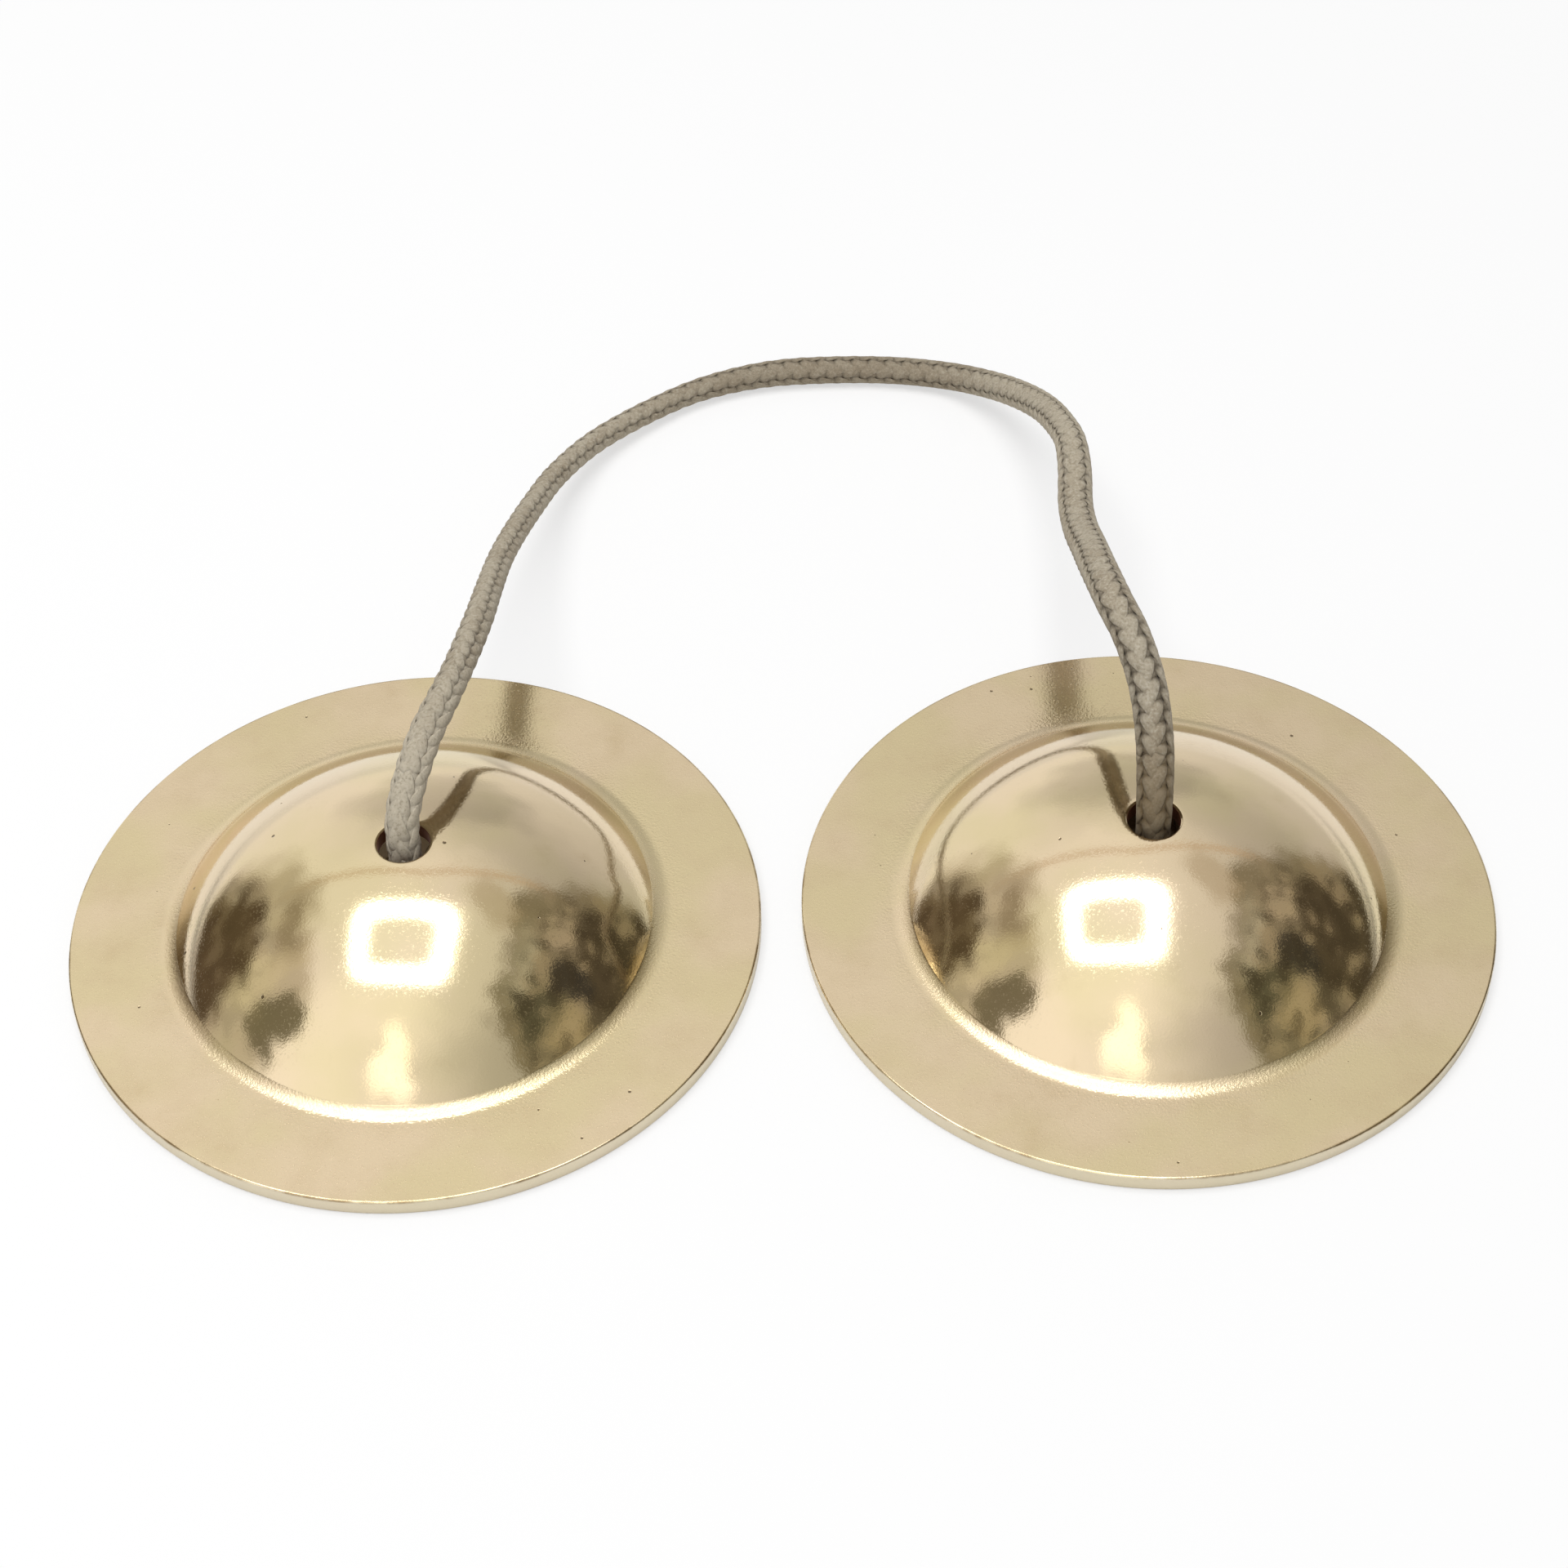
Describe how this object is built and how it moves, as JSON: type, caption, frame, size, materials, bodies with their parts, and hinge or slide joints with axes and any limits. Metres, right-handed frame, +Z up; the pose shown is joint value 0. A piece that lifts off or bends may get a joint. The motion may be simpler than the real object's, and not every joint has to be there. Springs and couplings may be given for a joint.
{
  "type": "pair of manjira hand cymbals",
  "caption": "Pair of small domed brass hand cymbals with flat flanges, joined crown to crown by a braided cord with a stopper knot under each dome.",
  "frame": {"origin": "midway between the two cymbals, on the surface that they lie on", "axes": "+X along the line of the cymbals' centres, from the left one to the right one; +Y towards the arch of the cord behind them; +Z up along the cymbals' own axes"},
  "size_m": [0.1544, 0.1307, 0.0316],
  "materials": {
    "brass": "polished dome, satin turned flange",
    "cord": "round braided cotton cord"
  },
  "bodies": {
    "cord": {"connecting_cord": "cord"},
    "left_knot": {"left_stopper_knot": "cord"},
    "left_disc": {"left_cymbal": "brass"},
    "right_knot": {"right_stopper_knot": "cord"},
    "right_disc": {"right_cymbal": "brass"}
  },
  "joints": [
    {"name": "left_tilt", "type": "hinge", "parent": "cord", "child": "left_knot", "pos_m": [-0.0397, 0, 0.0148], "axis": [-1, 0, 0], "range_deg": [-7, 80]},
    {"name": "left_spin", "type": "hinge", "parent": "left_knot", "child": "left_disc", "pos_m": [-0.0397, 0, 0.0148], "axis": [0, 0, 1], "continuous": true},
    {"name": "right_tilt", "type": "hinge", "parent": "cord", "child": "right_knot", "pos_m": [0.0397, 0, 0.0148], "axis": [-1, 0, 0], "range_deg": [-15, 65]},
    {"name": "right_spin", "type": "hinge", "parent": "right_knot", "child": "right_disc", "pos_m": [0.0397, 0, 0.0148], "axis": [0, 0, 1], "continuous": true}
  ]
}
